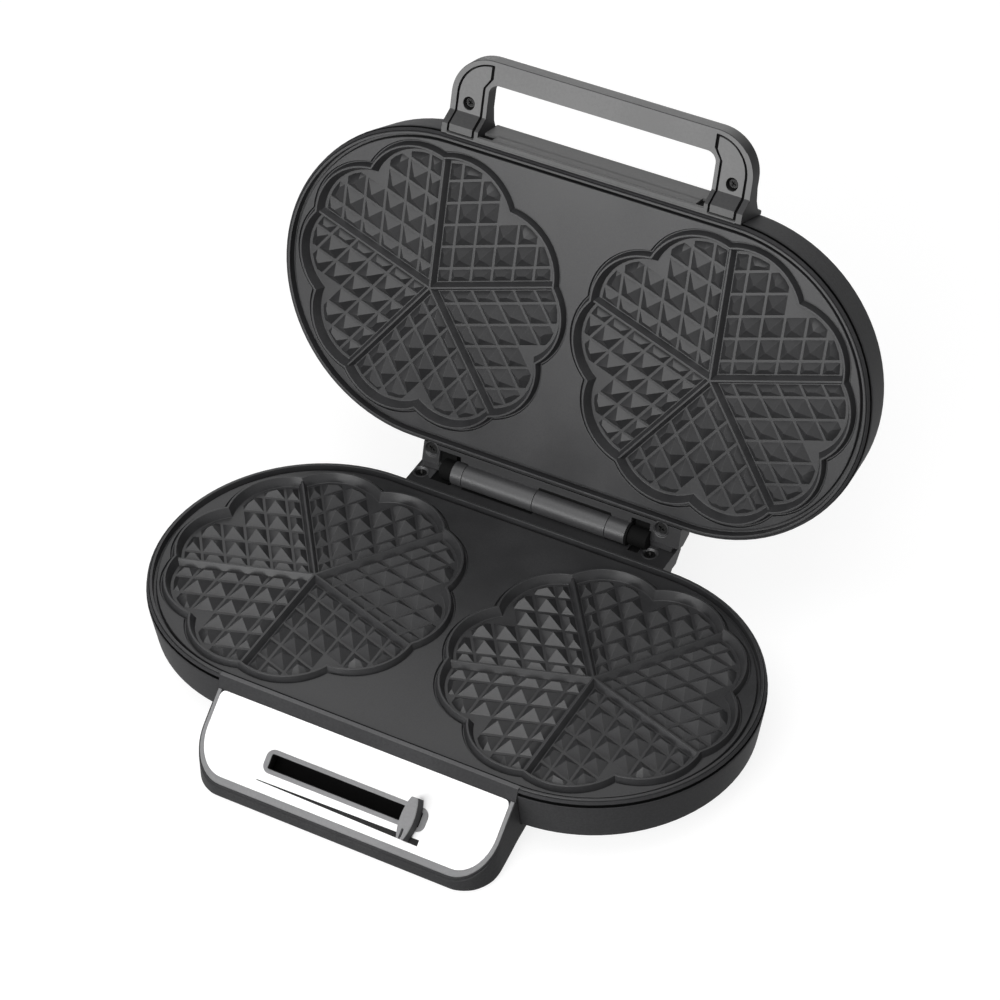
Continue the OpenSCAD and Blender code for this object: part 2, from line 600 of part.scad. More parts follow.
lower_housing();
control_housing();
control_border();
control_fascia();
slot_bezel();
slider_guide();
control_screws();
lower_cooking_plate();
lower_heating_element();
lower_reflector();
lower_reflector_screws();
lower_plate_screws();
bottom_cover();
bottom_cover_screws();
rubber_feet();
thermostat();
terminal_block();
cord_gland();
base_hinge_block();
base_hinge_inserts();
base_hinge_screws();
hinge_pin();
slider_carriage();
slider_knob();
slider_knob_cap();
lid_housing();
upper_cooking_plate();
upper_heating_element();
upper_reflector();
upper_reflector_screws();
upper_plate_screws();
lid_screw_plugs();
lid_hinge_block();
lid_hinge_inserts();
lid_hinge_screws();
handle_frame();
handle_inlay_left();
handle_inlay_right();
handle_screws();
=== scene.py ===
import json
from math import atan2, cos, hypot, pi, radians, sin, sqrt, tan

import bmesh
import bpy
from mathutils import Matrix, Vector


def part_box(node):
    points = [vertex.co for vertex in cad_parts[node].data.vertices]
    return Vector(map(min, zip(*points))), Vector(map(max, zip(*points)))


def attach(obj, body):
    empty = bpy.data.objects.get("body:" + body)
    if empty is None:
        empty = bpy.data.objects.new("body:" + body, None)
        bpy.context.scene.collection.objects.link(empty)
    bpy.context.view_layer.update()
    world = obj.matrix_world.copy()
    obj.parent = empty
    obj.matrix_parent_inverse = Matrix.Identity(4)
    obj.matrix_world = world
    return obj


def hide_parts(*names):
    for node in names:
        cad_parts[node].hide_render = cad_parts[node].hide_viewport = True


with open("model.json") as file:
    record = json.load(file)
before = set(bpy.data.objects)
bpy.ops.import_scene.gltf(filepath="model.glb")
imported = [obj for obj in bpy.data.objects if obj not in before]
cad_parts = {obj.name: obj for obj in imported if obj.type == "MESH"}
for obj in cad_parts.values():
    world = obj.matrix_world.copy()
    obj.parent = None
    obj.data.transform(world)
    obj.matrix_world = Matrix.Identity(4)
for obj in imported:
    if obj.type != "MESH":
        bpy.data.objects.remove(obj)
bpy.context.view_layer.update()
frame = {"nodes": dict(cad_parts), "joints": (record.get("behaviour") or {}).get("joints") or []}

scene = bpy.context.scene
scene.view_settings.view_transform = "Standard"

# ---------- The closed appliance's own frame ----------
# Every piece is drawn in millimetres round the point midway between the two moulds, on the parting plane
# between the plates, with the lid closed. The crest of the lower plate's beads lies half the parting gap
# below that point, and the lid's pieces are then swung open on the hinge.
MM = 0.001
PARTING_GAP = 0.4 * MM
plate_low, plate_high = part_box("lower_cooking_plate")
middle = Vector((0, (plate_low.y + plate_high.y) / 2, plate_high.z + PARTING_GAP / 2))
lid_joint = next(j for j in frame["joints"] if j["name"] == "lid_hinge")
hinge = Vector(lid_joint["pos_m"])
opened = Matrix.Rotation(-radians(lid_joint["range_deg"][1]), 4, "X")
on_base = Matrix.Translation(middle) @ Matrix.Scale(MM, 4)
on_lid = Matrix.Translation(hinge) @ opened @ Matrix.Translation(middle - hinge) @ Matrix.Scale(MM, 4)

# ---------- Camera ----------
# A long lens from the front right, looking down on the open appliance, with a slight roll.
AZIMUTH, ELEVATION, ROLL = radians(29.413), radians(42.040), radians(-1.218)
DISTANCE, ASIDE, ABOVE = 1.8779, 0.0254, 0.0641
SENSOR_MM, LENS_MM = 36, 128.54
back = Vector((sin(AZIMUTH) * cos(ELEVATION), -cos(AZIMUTH) * cos(ELEVATION), sin(ELEVATION)))
level = (-back).cross(Vector((0, 0, 1))).normalized()
upright = level.cross(-back)
right = level * cos(ROLL) + upright * sin(ROLL)
up = upright * cos(ROLL) - level * sin(ROLL)
camera = bpy.data.objects.new("camera", bpy.data.cameras.new("camera"))
camera.data.sensor_width, camera.data.lens = SENSOR_MM, LENS_MM
camera.matrix_world = Matrix.Translation(middle + right * ASIDE + up * ABOVE + back * DISTANCE) @ Matrix(
    (right, up, back)).transposed().to_4x4()
scene.collection.objects.link(camera)
scene.camera = camera


# ---------- Table and studio light ----------
# A seamless pale table under large diffusers. One overhead and one in front light the pieces, a weak low
# one in front is what the satin plates mirror, and two behind keep the lid's back readable from the rear.
def node(material, kind, inputs=None, **settings):
    """Adds a node to a material or world; an input is a value, or another node's output to link."""
    made = material.node_tree.nodes.new("ShaderNode" + kind)
    for name, value in settings.items():
        setattr(made, name, value)
    for name, value in (inputs or {}).items():
        if isinstance(value, bpy.types.NodeSocket):
            material.node_tree.links.new(value, made.inputs[name])
        else:
            made.inputs[name].default_value = value
    return made


def linear(hex_colour):
    """An sRGB hex colour as linear RGBA."""
    parts = [int(hex_colour[i:i + 2], 16) / 255 for i in (1, 3, 5)]
    return tuple(c / 12.92 if c <= 0.04045 else ((c + 0.055) / 1.055) ** 2.4 for c in parts) + (1.0,)


def blank(name):
    """A new material without nodes."""
    made = bpy.data.materials.new(name)
    made.use_nodes = True
    made.node_tree.nodes.clear()
    return made


def seen_directly(material):
    """1 for what the camera, a gloss or a glass shows directly, 0 where a surface only lights another."""
    path = node(material, "LightPath")
    pair = node(material, "Math", {0: path.outputs["Is Camera Ray"], 1: path.outputs["Is Glossy Ray"]},
                operation="ADD")
    return node(material, "Math", {0: pair.outputs[0], 1: path.outputs["Is Transmission Ray"]},
                operation="ADD", use_clamp=True).outputs[0]


def table_top():
    """Matt card: mid grey where it lights the underside, white where it is seen, and still shadowed."""
    made = blank("white_card")
    card = node(made, "BsdfDiffuse", {"Color": linear("#8c8c8c")})
    lift = node(made, "Emission", {"Color": linear("#ffffff"), "Strength": 0.84})
    shown = node(made, "AddShader", {0: card.outputs[0], 1: lift.outputs[0]})
    mix = node(made, "MixShader", {0: seen_directly(made), 1: card.outputs[0], 2: shown.outputs[0]})
    node(made, "OutputMaterial", {"Surface": mix.outputs[0]})
    return made


TABLE_HALF = 6
table_mesh = bmesh.new()
bmesh.ops.create_grid(table_mesh, x_segments=1, y_segments=1, size=TABLE_HALF)
table_data = bpy.data.meshes.new("table")
table_mesh.to_mesh(table_data)
table = bpy.data.objects.new("table", table_data)
table_data.materials.append(table_top())
scene.collection.objects.link(table)

world = bpy.data.worlds.new("studio")
scene.world = world
world.use_nodes = True
world.node_tree.nodes.clear()
walls = node(world, "Background", {"Color": linear("#ffffff"), "Strength": 0.15})
bright = node(world, "Background", {"Color": linear("#ffffff"), "Strength": 1.0})
either = node(world, "MixShader", {0: seen_directly(world), 1: walls.outputs[0], 2: bright.outputs[0]})
node(world, "OutputWorld", {"Surface": either.outputs[0]})


def diffuser(name, place, wide, high, power, aim=middle, mirrored=True):
    """A soft box at place, wide by high metres, turned towards aim, that glossy faces mirror or don't."""
    lamp = bpy.data.lights.new(name, "AREA")
    lamp.shape = "RECTANGLE"
    lamp.size, lamp.size_y = wide, high
    lamp.energy = power
    made = bpy.data.objects.new(name, lamp)
    made.location = place
    made.rotation_euler = (aim - Vector(place)).to_track_quat("-Z", "Y").to_euler()
    made.visible_glossy = mirrored
    scene.collection.objects.link(made)


diffuser("low_front", (-0.26, -0.85, 0.2), 0.7, 0.34, 4.2, Vector((0.0, 0.1, 0.2)))
diffuser("right_front", (0.3, -1.6, 1.15), 0.9, 0.9, 16)
diffuser("overhead", (0.1, -0.6, 1.9), 1.4, 1.4, 17)
diffuser("back_left", (-0.75, 1.25, 1.7), 0.9, 0.9, 3)
diffuser("low_back", (-0.5, 1.5, 0.15), 1.0, 0.24, 12, Vector((0.0, 0.15, 0.15)), mirrored=False)


# ---------- Lower housing ----------
# The base's outer shell, injection moulded in dark grey glass-filled polyamide with a fine spark-eroded
# grain. It has a turned-in rim that the cooking plate drops into, six screw bosses and two rear legs.
HALF_SPACING = 84.0
BASE_BACK = 28.8
STAND = 48.0
END_STEPS = 48
FIXINGS = [(-44, -75.5), (44, -75.5), (-44, 75.5), (44, 75.5), (-159.5, 0), (159.5, 0)]


def rounded(points, radius, steps=4):
    """A run of (across, height) points with each inner corner rounded, by less where it is tight."""
    smooth = [points[0]]
    for before, corner, after in zip(points, points[1:], points[2:]):
        a, b, c = Vector(before[:2]), Vector(corner[:2]), Vector(after[:2])
        wanted = corner[2] if len(corner) > 2 else radius
        turn = (b - a).angle(c - b, 0)
        if turn < radians(4) or wanted == 0:
            smooth.append((b.x, b.y))
            continue
        reach = min(wanted * tan(turn / 2), 0.45 * (b - a).length, 0.45 * (c - b).length)
        start, end = b + (a - b).normalized() * reach, b + (c - b).normalized() * reach
        for step in range(steps + 1):
            t = step / steps
            smooth.append(tuple(start * (1 - t) ** 2 + b * (2 * t * (1 - t)) + end * t ** 2))
    return smooth + [points[-1][:2]]


def stadium(reach, z):
    """A ring of points: two round ends of radius reach, joined by straight sides."""
    ring = []
    for side in (1, -1):
        for step in range(END_STEPS + 1):
            a = (-pi / 2 if side > 0 else pi / 2) + pi * step / END_STEPS
            ring.append((side * HALF_SPACING + reach * cos(a), reach * sin(a), z))
    return ring


def skin(bm, rings, closed=False, around=True):
    """Joins rings of equally many points, or open runs if not around, and last to first if closed."""
    rows = [[bm.verts.new(p) for p in ring] for ring in rings]
    pairs = list(zip(rows, rows[1:])) + ([(rows[-1], rows[0])] if closed else [])
    for low, high in pairs:
        for i in range(len(low) if around else len(low) - 1):
            j = (i + 1) % len(low)
            bm.faces.new((low[i], low[j], high[j], high[i]))
    return rows


def cap(bm, *loops):
    """Fills the space between closed loops of points with flat faces."""
    edges = [bm.edges.get(ends) or bm.edges.new(ends)
             for loop in loops for ends in zip(loop, loop[1:] + loop[:1])]
    bmesh.ops.triangle_fill(bm, use_beauty=True, use_dissolve=False, edges=edges)


def circle(x, y, z, radius, steps=32):
    """A ring of points round (x, y) at one height."""
    angles = [2 * pi * k / steps for k in range(steps)]
    return [(x + radius * cos(a), y + radius * sin(a), z) for a in angles]


def turned(bm, profile, centre=(0, 0)):
    """A turned solid from (radius, height) points: a tube, or closed by flats where it meets the axis."""
    inner = [p for p in profile if p[0] > 1e-6]
    rows = skin(bm, [circle(*centre, z, r) for r, z in inner], closed=len(inner) == len(profile))
    if len(inner) < len(profile):
        bm.faces.new(rows[0][::-1])
        bm.faces.new(rows[-1])


def finished(bm, name, place, material, sharp=35):
    """Turns mesh work into a named object, placed, smooth-shaded except over sharp edges."""
    bm.transform(place)
    bmesh.ops.recalc_face_normals(bm, faces=bm.faces)
    for face in bm.faces:
        face.smooth = True
    for edge in bm.edges:
        if len(edge.link_faces) == 2 and edge.calc_face_angle(0) > radians(sharp):
            edge.smooth = False
    data = bpy.data.meshes.new(name)
    bm.to_mesh(data)
    bm.free()
    data.materials.append(material)
    made = bpy.data.objects.new(name, data)
    scene.collection.objects.link(made)
    flats = made.modifiers.new("flats", "WEIGHTED_NORMAL")
    flats.keep_sharp = True
    flats.weight = 100
    return made


def fitted(made, body, slot, *nodes):
    """Sets a piece on the body that it moves with and hides the frame nodes it stands for."""
    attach(made, body)
    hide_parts(*nodes)
    return made


def moulded_plastic(name, colour, worn, grain_mm, depth_mm, roughness, gloss=0.5):
    """A moulded plastic: a pitted grain off the mould's wall, faint flow shading and rubbed spots.

    The real grain is about 0.1 mm, too fine to show, so grain_mm draws it as coarse as shows.
    """
    FLOW_MM, SPECK_MM = 45, 1.4
    made = blank(name)
    place = node(made, "TexCoord").outputs["Object"]
    flow = node(made, "TexNoise", {"Vector": place, "Scale": 1 / (FLOW_MM * MM),
                                   "Detail": 2.0, "Roughness": 0.5})
    speck = node(made, "TexNoise", {"Vector": place, "Scale": 1 / (SPECK_MM * MM),
                                    "Detail": 3.0, "Roughness": 0.6})
    patch = node(made, "Math", {0: flow.outputs["Fac"], 1: speck.outputs["Fac"]}, operation="MULTIPLY")
    tone = node(made, "ValToRGB", {"Fac": patch.outputs[0]})
    tone.color_ramp.elements[0].position, tone.color_ramp.elements[0].color = 0.16, linear(colour)
    tone.color_ramp.elements[1].position, tone.color_ramp.elements[1].color = 0.36, linear(worn)
    sheen = node(made, "MapRange", {"Value": flow.outputs["Fac"], "From Min": 0.3, "From Max": 0.7,
                                    "To Min": roughness - 0.02, "To Max": roughness + 0.03})
    grain = node(made, "TexNoise", {"Vector": place, "Scale": 1 / (grain_mm * MM),
                                    "Detail": 2.0, "Roughness": 0.55})
    pits = node(made, "Bump", {"Height": grain.outputs["Fac"], "Strength": 1.0, "Distance": depth_mm * MM})
    shader = node(made, "BsdfPrincipled", {
        "Base Color": tone.outputs["Color"], "Roughness": sheen.outputs["Result"],
        "Normal": pits.outputs["Normal"], "IOR": 1.5, "Specular IOR Level": gloss})
    node(made, "OutputMaterial", {"Surface": shader.outputs[0]})
    return made


SEAM_REACH, SEAM_LEVEL = (88.6, 89.97), (-4.9, -2.92)


def paint_seam_shade(made, place, side):
    """Paints shade near black on the faces in the gap under the rim's lip, which on the real one runs in
    deeper than light reaches.
    """
    made.data.materials.append(seam_shade_black)
    to_closed = place.inverted()
    for face in made.data.polygons:
        x, y, z = to_closed @ face.center
        reach = hypot(max(abs(x) - HALF_SPACING, 0), y)
        if SEAM_REACH[0] < reach < SEAM_REACH[1] and SEAM_LEVEL[0] < side * z < SEAM_LEVEL[1]:
            face.material_index = 1


# Painted shade for the bottom of the seam under the rim's lip: all but black, without gloss.
seam_shade_black = moulded_plastic("seam_painted_shade", "#060606", "#0a0a0a", 0.5, 0.01, 0.9, 0.05)
# Glass-filled polyamide off a spark-eroded mould: dark grey and matt, with hardly any gloss.
housing_polyamide = moulded_plastic("spark_grained_polyamide", "#303031", "#383839", 0.55, 0.02, 0.6, 0.08)

RIM = [(86.6, -6.4), (88.55, -6.4), (88.55, -1.6, 0.2), (88.9, -1.5, 0.2), (89.9, -2.6, 0.4),
       (89.9, -2.9, 0.1), (88.9, -3.0, 0.1), (88.9, -4.7, 0.1), (90.0, -4.8, 0.2), (90.3, -5.1, 0.2),
       (90.3, -6.2)]
lower = bmesh.new()
wall = rounded(RIM + [(87.1, -27.9), (86.3, -BASE_BACK), (62, -BASE_BACK, 0.4), (62, -BASE_BACK + 2.2, 0.4),
                      (84.3, -BASE_BACK + 2.2), (86.6, -6.4)], 0.5)
skin(lower, [stadium(r, z) for r, z in wall[:-1]], closed=True)
for x, y in FIXINGS:
    turned(lower, [(1.8, -BASE_BACK + 4), (6, -BASE_BACK + 1), (6, -18), (1.8, -18)], (x, y))
REAR_LEGS = [(-70, 77.7), (70, 77.7)]
for leg in REAR_LEGS:
    turned(lower, [(6.9, -STAND + 4.5), (6.9, -STAND + 3)] + rounded(
        [(7.0, -STAND + 3), (8, -STAND + 3, 0.5), (8, -BASE_BACK + 1, 0), (6.9, -BASE_BACK + 1)], 0.5), leg)
lower_shell = finished(lower, "lower_housing_shell", on_base, housing_polyamide)
paint_seam_shade(lower_shell, on_base, 1)
fitted(lower_shell, "base", "housing_charcoal", "lower_housing")

# ---------- Cooking plates ----------
# Two die-cast aluminium plates, sprayed with dark grey non-stick. Each has two moulds of five hearts: a
# raised bead round ten lobes, a sunk floor, five ridges between the hearts, and rows of pyramids.
LOBE_CENTRE, LOBE_TURN = 47.26, 14.27
LOBE_ANGLES = [radians(-90 + 36 * k + (36 - LOBE_TURN if k % 2 else LOBE_TURN)) for k in range(10)]
FLAT, FLOOR, BACK = -2.8, -5.5, -9.0
LIP = -0.9
RIDGE_TOP = FLOOR + 3.5
HEART = radians(72)
SLOPE = 4.9 / 5.61
FIRST, PITCH, VALLEY = 10.5, 12.8, 1.5
RIDGE_SIDE = 2.8
CELL_REACH, SAFE_REACH = 28.4, 45
LOWEST_PYRAMID = 0.8


def lobed(radius, z, steps=14):
    """The outline of ten overlapping circles, which meet in shallow clefts, as a ring of points."""
    centres = [Vector((LOBE_CENTRE * cos(a), LOBE_CENTRE * sin(a))) for a in LOBE_ANGLES]
    clefts = []
    for a, b in zip(centres, centres[1:] + centres[:1]):
        mid = (a + b) / 2
        clefts.append(mid + mid.normalized() * sqrt(radius ** 2 - ((b - a).length / 2) ** 2))
    ring = []
    for k, centre in enumerate(centres):
        start, end = clefts[k - 1] - centre, clefts[k] - centre
        a = atan2(start.y, start.x)
        sweep = (atan2(end.y, end.x) - a) % (2 * pi)
        for step in range(steps):
            t = a + sweep * step / steps
            ring.append((centre.x + radius * cos(t), centre.y + radius * sin(t), z))
    return ring


def cut_below(bm, normal, offset):
    """Cuts a convex solid by the roof plane that rises inwards from the line normal . (x, y) = offset."""
    plane = Vector((SLOPE * normal.x, SLOPE * normal.y, 1.0))
    point = Vector((normal.x * offset, normal.y * offset, FLOOR))
    whole = bm.verts[:] + bm.edges[:] + bm.faces[:]
    cut = bmesh.ops.bisect_plane(bm, geom=whole, dist=1e-5, plane_co=point, plane_no=plane, clear_outer=True)
    rim = [e for e in cut["geom_cut"] if isinstance(e, bmesh.types.BMEdge)]
    if rim:
        bmesh.ops.holes_fill(bm, edges=rim)


def heart_cells():
    """The lines round each cell of one heart's oblique grid, as outward normals and offsets."""
    lines_a, lines_b = Vector((0, 1)), Vector((sin(HEART), -cos(HEART)))
    lobes = [Vector((LOBE_CENTRE * cos(a), LOBE_CENTRE * sin(a)))
             for a in (radians(LOBE_TURN), HEART - radians(LOBE_TURN))]
    spans = [(RIDGE_SIDE, FIRST * sin(HEART) - VALLEY / 2)]
    spans += [((FIRST + PITCH * i + VALLEY / 2) * sin(HEART),
               (FIRST + PITCH * (i + 1) - VALLEY / 2) * sin(HEART)) for i in range(5)]
    for i, (a0, a1) in enumerate(spans):
        for j, (b0, b1) in enumerate(spans):
            if i == 3 and j == 3:
                continue
            corners = [Vector(((b + a * cos(HEART)) / sin(HEART), a)) for a in (a0, a1) for b in (b0, b1)]
            nearest = min(lobes, key=lambda c: (sum(corners, Vector((0, 0))) / 4 - c).length)
            outside = [c for c in corners
                       if c.length > SAFE_REACH and all((c - lobe).length > CELL_REACH for lobe in lobes)]
            sides = [(lines_a, a1), (-lines_a, -a0), (lines_b, b1), (-lines_b, -b0)]
            if len(outside) == 4:
                continue
            for step in range(30) if outside else ():
                normal = Vector((cos(radians(12 * step)), sin(radians(12 * step))))
                offset = normal.dot(nearest) + CELL_REACH
                if any(normal.dot(c) > offset for c in outside):
                    sides.append((normal, offset))
            yield sides


def add_mesh(bm, part, place=None):
    """Adds one mesh to another, placed, and frees it."""
    if place:
        part.transform(place)
    data = bpy.data.meshes.new("part")
    part.to_mesh(data)
    part.free()
    bm.from_mesh(data)
    bpy.data.meshes.remove(data)


def heart_relief():
    """One heart's rows of pyramids, each a roof of constant slope over its cell, with softened edges."""
    whole = bmesh.new()
    for sides in heart_cells():
        cell = bmesh.new()
        bmesh.ops.create_cube(cell, size=1, matrix=Matrix.Translation((45, 35, FLOOR + 5)) @ Matrix.Diagonal(
            (140, 140, 10.6, 1)))
        for normal, offset in sides:
            cut_below(cell, normal, offset)
        roof = [e for e in cell.edges if len(e.link_faces) == 2 and any(v.co.z > FLOOR for v in e.verts)]
        height = max((v.co.z for v in cell.verts), default=FLOOR)
        if height < FLOOR + LOWEST_PYRAMID:
            cell.free()
            continue
        bmesh.ops.bevel(cell, geom=roof, offset=0.18, segments=2, profile=0.6, affect="EDGES",
                        clamp_overlap=True)
        add_mesh(whole, cell)
    return whole


def star(half_width, z, reach=75.6):
    """The outline of the five ridges where they meet, at one height."""
    ring = []
    for k in range(5):
        a = radians(-90 + 72 * k)
        along, across = Vector((cos(a), sin(a))), Vector((-sin(a), cos(a)))
        for side in (-1, 1):
            p = along * reach + across * side * half_width
            ring.append((p.x, p.y, z))
        b = a + HEART / 2
        ring.append((half_width / sin(HEART / 2) * cos(b), half_width / sin(HEART / 2) * sin(b), z))
    return ring


def cooking_plate():
    """One plate with both moulds, drawn for the base."""
    plate = bmesh.new()
    edge = rounded([(83.4, FLAT), (84.5, FLAT, 0.5), (84.9, -5.2, 0.3), (86.4, -5.2, 0.3), (86.8, LIP, 0.3),
                    (88.1, LIP, 0.4), (88.4, -1.8, 0.3), (88.4, -6.4, 0.2),
                    (86.2, -6.4, 0.2), (86.2, BACK, 0.6), (84, BACK)], 0.35)
    rings = skin(plate, [stadium(r, z) for r, z in edge])
    bead = rounded([(36.2, FLAT), (35.8, FLAT), (35.4, FLAT - 1.3), (34.7, FLAT - 1.3), (33.5, -0.2),
                    (32.4, -0.2), (30.1, FLOOR), (28.9, FLOOR)], 0.3)
    beads = []
    for side in (-1, 1):
        place = Matrix.Translation((side * HALF_SPACING, 0, 0))
        mould = skin(plate, [[tuple(place @ Vector(p)) for p in lobed(r, z)] for r, z in bead])
        beads.append(mould[0])
        cap(plate, mould[-1])
        profile = rounded([(2.6, FLOOR - 0.3), (2.3, FLOOR, 0), (0.5, RIDGE_TOP), (0.25, RIDGE_TOP)], 0.2)
        ridges = skin(plate, [[tuple(place @ Vector(p)) for p in star(w, z)] for w, z in profile])
        cap(plate, ridges[0])
        cap(plate, ridges[-1])
    cap(plate, rings[0], *beads)
    cap(plate, rings[-1])
    heart = heart_relief()
    for side in (-1, 1):
        for k in range(5):
            add_mesh(plate, heart.copy(), Matrix.Translation((side * HALF_SPACING, 0, 0)) @ Matrix.Rotation(
                radians(-90) + HEART * k, 4, "Z"))
    heart.free()
    for x, y in FIXINGS:
        turned(plate, [(1.75, BACK + 1), (5, BACK + 1), (5, -18), (1.75, -18)], (x, y))
    return plate


def nonstick_coating():
    """Sprayed non-stick on cast aluminium: a fine orange-peel film, soft satin gloss and faint mottling."""
    CLOUD_MM, DOT_MM, PEEL_MM = 30, 0.9, 0.8
    made = blank("sprayed_nonstick")
    place = node(made, "TexCoord").outputs["Object"]
    cloud = node(made, "TexNoise", {"Vector": place, "Scale": 1 / (CLOUD_MM * MM),
                                    "Detail": 3.0, "Roughness": 0.55})
    dots = node(made, "TexNoise", {"Vector": place, "Scale": 1 / (DOT_MM * MM),
                                   "Detail": 2.0, "Roughness": 0.7})
    blend = node(made, "Math", {0: cloud.outputs["Fac"], 1: dots.outputs["Fac"]}, operation="MULTIPLY")
    tone = node(made, "ValToRGB", {"Fac": blend.outputs[0]})
    tone.color_ramp.elements[0].position, tone.color_ramp.elements[0].color = 0.14, linear("#2b2b2c")
    tone.color_ramp.elements[1].position, tone.color_ramp.elements[1].color = 0.38, linear("#343435")
    gloss = node(made, "MapRange", {"Value": cloud.outputs["Fac"], "From Min": 0.3, "From Max": 0.7,
                                    "To Min": 0.30, "To Max": 0.38})
    peel = node(made, "TexNoise", {"Vector": place, "Scale": 1 / (PEEL_MM * MM),
                                   "Detail": 1.0, "Roughness": 0.4})
    film = node(made, "Bump", {"Height": peel.outputs["Fac"], "Strength": 1.0, "Distance": 0.012 * MM})
    shader = node(made, "BsdfPrincipled", {
        "Base Color": tone.outputs["Color"], "Roughness": gloss.outputs["Result"],
        "Normal": film.outputs["Normal"], "IOR": 1.38})
    node(made, "OutputMaterial", {"Surface": shader.outputs[0]})
    return made


nonstick = nonstick_coating()
lower_plate = finished(cooking_plate(), "lower_heart_plate", on_base, nonstick, sharp=24)
fitted(lower_plate, "base", "nonstick_aluminium", "lower_cooking_plate")
facing_down = on_lid @ Matrix.Diagonal((1, 1, -1, 1))
upper_plate = finished(cooking_plate(), "upper_heart_plate", facing_down, nonstick, sharp=24)
fitted(upper_plate, "lid", "nonstick_aluminium", "upper_cooking_plate")

# ---------- Lid housing ----------
# The lid's outer shell, moulded in the same polyamide, with a shallow crowned back.
LID_BACK = 30.8
upper = bmesh.new()
shell = rounded([(p[0], -p[1], *p[2:]) for p in RIM] + [
    (87.5, LID_BACK - 3), (86.3, LID_BACK - 1.7), (80, LID_BACK - 1.2), (78.8, LID_BACK),
    (70, LID_BACK)], 0.5)
inside = rounded([(70, LID_BACK - 2.2), (78, LID_BACK - 2.2), (84.6, LID_BACK - 4), (86.6, 6.4)], 0.5)
outer = skin(upper, [stadium(r, z) for r, z in shell])
inner = skin(upper, [stadium(r, z) for r, z in inside])
cap(upper, outer[-1])
cap(upper, inner[0])
for i in range(len(outer[0])):
    j = (i + 1) % len(outer[0])
    upper.faces.new((inner[-1][i], inner[-1][j], outer[0][j], outer[0][i]))
for x, y in FIXINGS:
    turned(upper, [(1.8, LID_BACK - 2), (6, LID_BACK - 2), (6, 18), (1.8, 18)], (x, y))
lid_shell = finished(upper, "lid_housing_shell", on_lid, housing_polyamide)
paint_seam_shade(lid_shell, on_lid, -1)
fitted(lid_shell, "lid", "housing_charcoal", "lid_housing")


# ---------- Handle ----------
# The looped handle is a separate moulding in mid grey polyamide, screwed to the lid from below, with a
# closing insert in each leg. A strip between the legs covers the lid's front edge.
def eased(name, edge_mm):
    """A frame node's own shape with its moulded corners eased by a small radius."""
    source = frame["nodes"][name].data
    bm = bmesh.new()
    bm.from_mesh(source)
    bmesh.ops.remove_doubles(bm, verts=bm.verts, dist=2e-6)
    bmesh.ops.dissolve_limit(bm, angle_limit=radians(1.0), verts=bm.verts, edges=bm.edges)
    edges = [e for e in bm.edges if len(e.link_faces) == 2 and e.calc_face_angle(0) > radians(30)]
    bmesh.ops.bevel(bm, geom=edges, offset=edge_mm * MM, segments=2, profile=0.5, affect="EDGES",
                    clamp_overlap=False, miter_outer="ARC")
    return bm


def slab(bm, low, high, edge, place):
    """Adds a block between two corners, with softened edges, placed."""
    block = bmesh.new()
    centre = [(a + b) / 2 for a, b in zip(low, high)]
    size = [b - a for a, b in zip(low, high)]
    bmesh.ops.create_cube(block, size=1, matrix=Matrix.Translation(centre) @ Matrix.Diagonal((*size, 1)))
    bmesh.ops.bevel(block, geom=block.edges[:], offset=edge, segments=2, profile=0.5, affect="EDGES")
    add_mesh(bm, block, place)


def crossed_screw(bm, x, y, z, radius, facing):
    """A countersunk screw with a cross recess. Its face is at height z and looks up (1) or down (-1)."""
    def cross(reach, half, h):
        ring = []
        for k in range(4):
            c, s = cos(k * pi / 2 + 0.5), sin(k * pi / 2 + 0.5)
            ring += [(x + u * c - v * s, y + u * s + v * c, z + facing * h)
                     for u, v in ((reach, -half), (reach, half), (half, half))]
        return ring

    head = skin(bm, [circle(x, y, z + facing * h, r) for r, h in (
        (radius * 0.47, -6), (radius * 0.47, -radius * 0.55), (radius, -0.3), (radius - 0.25, 0))])
    recess = skin(bm, [cross(radius * 0.6, radius * 0.15, 0), cross(radius * 0.32, radius * 0.12, -1.3)])
    cap(bm, head[0])
    cap(bm, head[-1], recess[0])
    cap(bm, recess[-1])


# Polyamide from a polished mould: mid grey, satin.
handle_polyamide = moulded_plastic("handle_polyamide", "#757575", "#7b7b7b", 0.55, 0.02, 0.55, 0.15)
# The same polyamide, a little darker: painted shade on the strip and on the lips low on the legs.
strip_shade_polyamide = moulded_plastic("handle_strip_painted_shade", "#606060", "#666666", 0.55, 0.02, 0.55, 0.15)
# The same polyamide in a coarser grain, darker and matt: painted shade on the slope at the legs' roots.
root_shade_polyamide = moulded_plastic("handle_root_painted_shade", "#434344", "#494949", 0.8, 0.03, 0.6, 0.1)
# Acetal copolymer: deep black, waxy, without highlights.
black_plastic = moulded_plastic("black_acetal", "#040404", "#070707", 0.5, 0.01, 0.8, 0.1)
UNMOVED = Matrix.Identity(4)
ROOT_TOP, LIP_TOP = 9.5, 4
INLAY_SHARE = (0.89, 0.96)
SHADOW_RIM_SUNK = 0.8


def paint_flank_shade(made, flank_shade_colour):
    """Paints shade on the faces that look sideways, mixing their colour towards a darker one."""
    facing = node(made, "SeparateXYZ", {0: node(made, "TexCoord").outputs["Normal"]})
    sideways = node(made, "Math", {0: facing.outputs["X"]}, operation="ABSOLUTE")
    share = node(made, "MapRange", {"Value": sideways.outputs[0], "From Min": 0.15, "From Max": 0.75})
    shader = next(n for n in made.node_tree.nodes if n.type == "BSDF_PRINCIPLED")
    smooth = shader.inputs["Base Color"].links[0].from_socket
    mixed = node(made, "Mix", {0: share.outputs["Result"], 6: smooth, 7: linear(flank_shade_colour)}, data_type="RGBA")
    made.node_tree.links.new(mixed.outputs[2], shader.inputs["Base Color"])


